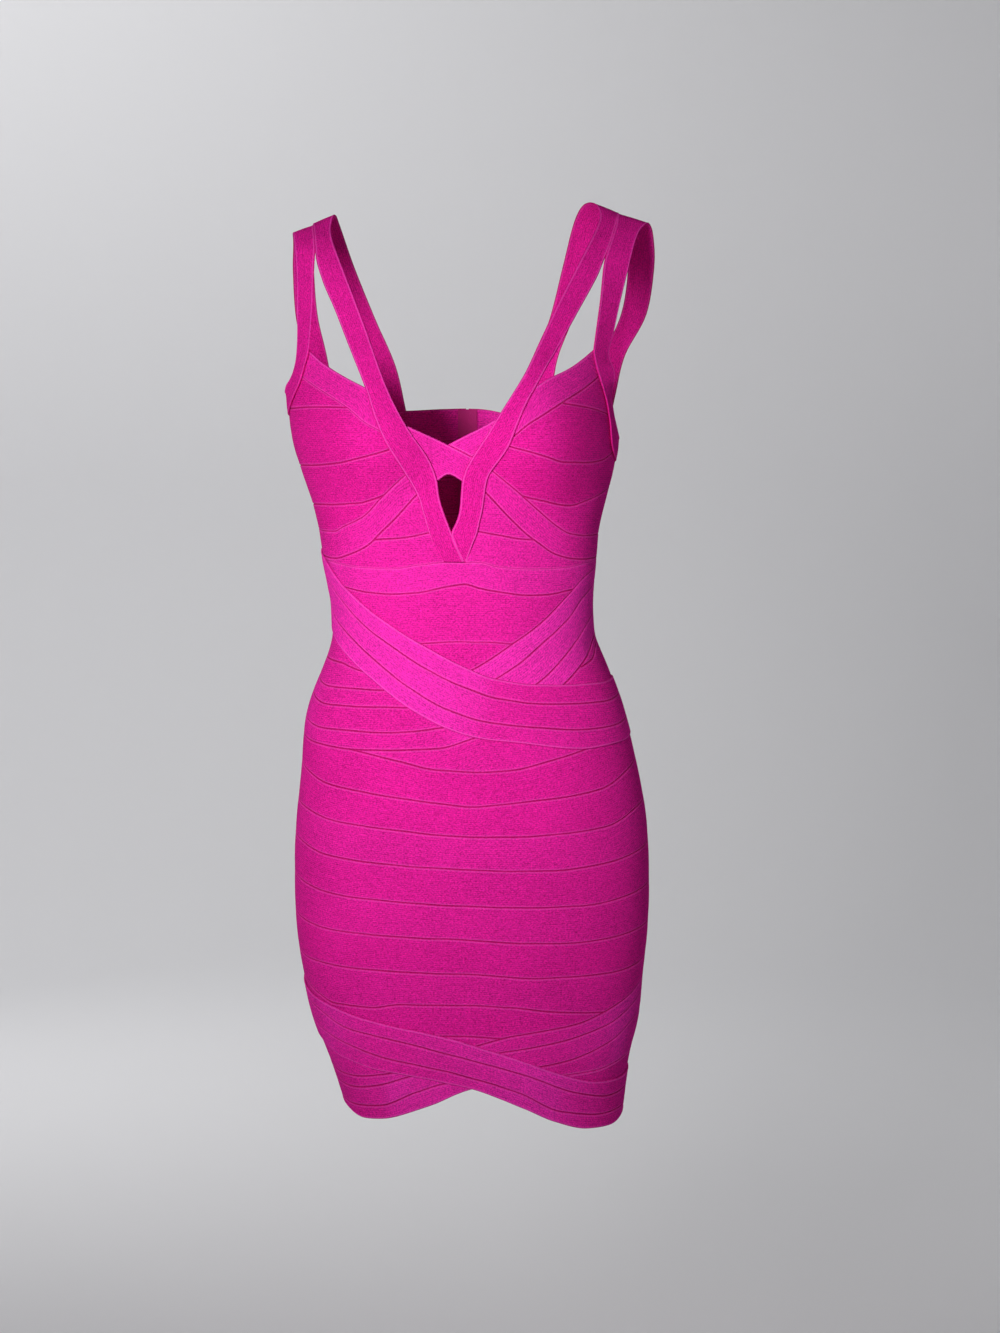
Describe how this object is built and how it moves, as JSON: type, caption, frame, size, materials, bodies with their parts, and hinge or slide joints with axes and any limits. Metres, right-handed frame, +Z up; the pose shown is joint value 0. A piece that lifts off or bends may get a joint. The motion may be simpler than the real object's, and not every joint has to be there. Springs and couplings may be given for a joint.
{
  "type": "bodycon dress",
  "caption": "Short sleeveless bodycon dress of sewn bandage-knit strips, with crossed wraps at waist and hem, paired shoulder straps and a zip at the back.",
  "frame": {"origin": "on the wearer's shoulder line, midway between the shoulder straps, level with their tops", "axes": "+Z up along the wearer, +Y towards the wearer's back, +X towards the wearer's left side"},
  "size_m": [0.3382, 0.2425, 0.8402],
  "materials": {
    "bandage_knit": "fine ribbed stretch knit with a soft sheen",
    "zip_metal": "pink lacquered zip slider and pull"
  },
  "bodies": {
    "dress": {"back_bodice_left": "bandage_knit", "back_bodice_right": "bandage_knit", "back_hem_left": "bandage_knit", "back_hem_right": "bandage_knit", "back_neck_band_left": "bandage_knit", "back_neck_band_right": "bandage_knit", "back_seat_left": "bandage_knit", "back_seat_right": "bandage_knit", "back_waist_left": "bandage_knit", "back_waist_right": "bandage_knit", "centre_panel_left": "bandage_knit", "centre_panel_right": "bandage_knit", "cross_band_left": "bandage_knit", "cross_band_right": "bandage_knit", "cup_left_1": "bandage_knit", "cup_left_2": "bandage_knit", "cup_left_3": "bandage_knit", "cup_left_4": "bandage_knit", "cup_right_1": "bandage_knit", "cup_right_2": "bandage_knit", "cup_right_3": "bandage_knit", "cup_right_4": "bandage_knit", "gusset_left": "bandage_knit", "gusset_right": "bandage_knit", "hem_over_1": "bandage_knit", "hem_over_2": "bandage_knit", "hem_over_3": "bandage_knit", "hem_side_left": "bandage_knit", "hem_side_right": "bandage_knit", "hem_under_1": "bandage_knit", "hem_under_2": "bandage_knit", "hem_under_3": "bandage_knit", "hip_side_left": "bandage_knit", "hip_side_right": "bandage_knit", "skirt_band_1": "bandage_knit", "skirt_band_2": "bandage_knit", "skirt_band_3": "bandage_knit", "skirt_band_4": "bandage_knit", "skirt_band_5": "bandage_knit", "skirt_band_6": "bandage_knit", "skirt_band_7": "bandage_knit", "skirt_band_8": "bandage_knit", "skirt_band_9": "bandage_knit", "strap_inner_left": "bandage_knit", "strap_inner_right": "bandage_knit", "strap_outer_left": "bandage_knit", "strap_outer_right": "bandage_knit", "sweetheart_left": "bandage_knit", "sweetheart_right": "bandage_knit", "underbust_band": "bandage_knit", "waist_panel": "bandage_knit", "wrap_over_1": "bandage_knit", "wrap_over_2": "bandage_knit", "wrap_over_3": "bandage_knit", "wrap_under_1": "bandage_knit", "wrap_under_2": "bandage_knit", "wrap_under_3": "bandage_knit", "zip_tape": "bandage_knit", "zip_slider": "zip_metal"},
    "pull": {"zip_pull": "zip_metal"}
  },
  "joints": [
    {"name": "pull_swing", "type": "hinge", "parent": "dress", "child": "pull", "pos_m": [0, 0.10078, -0.1846], "axis": [1, 0, 0], "range_deg": [0, 170]}
  ]
}
